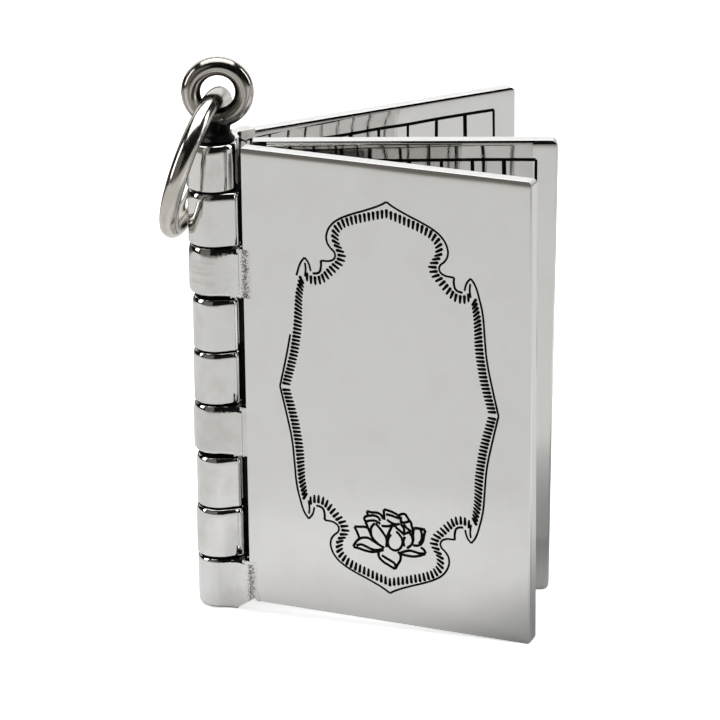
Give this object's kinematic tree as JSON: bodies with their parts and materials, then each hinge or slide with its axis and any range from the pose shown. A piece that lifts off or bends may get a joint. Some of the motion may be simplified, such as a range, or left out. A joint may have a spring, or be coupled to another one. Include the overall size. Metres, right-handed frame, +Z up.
{
  "type": "book pendant",
  "caption": "Silver pendant built as a tiny standing book, with engraved covers and an inner leaf turning on a knuckled pin, a hanging eye and a jump ring",
  "frame": {"origin": "centre of the flat lower end of the hinge pin and barrel", "axes": "+Z up along the hinge pin; the hanging eye lies in the XZ plane and is offset to +X; the leaves reach to +X, the front cover opened towards -Y and the back cover towards +Y"},
  "size_m": [0.0245, 0.0212, 0.0361],
  "materials": {
    "silver": "polished silver, darkened in the engraving"
  },
  "bodies": {
    "pin": {"hinge_pin": "silver"},
    "leaf": {"middle_leaf": "silver"},
    "front": {"front_cover": "silver"},
    "back": {"back_cover": "silver"},
    "ring": {"jump_ring": "silver"}
  },
  "joints": [
    {"name": "middle_turn", "type": "hinge", "parent": "pin", "child": "leaf", "pos_m": [0, 0, 0], "axis": [0, 0, -1], "range_deg": [-5, 10]},
    {"name": "front_turn", "type": "hinge", "parent": "leaf", "child": "front", "pos_m": [0, 0, 0], "axis": [0, 0, -1], "range_deg": [-21.3, 42]},
    {"name": "back_turn", "type": "hinge", "parent": "leaf", "child": "back", "pos_m": [0, 0, 0], "axis": [0, 0, 1], "range_deg": [-29, 14]},
    {"name": "ring_swing", "type": "hinge", "parent": "pin", "child": "ring", "pos_m": [0.00044, 0, 0.03386], "axis": [0, 1, 0], "range_deg": [0, 250]}
  ]
}
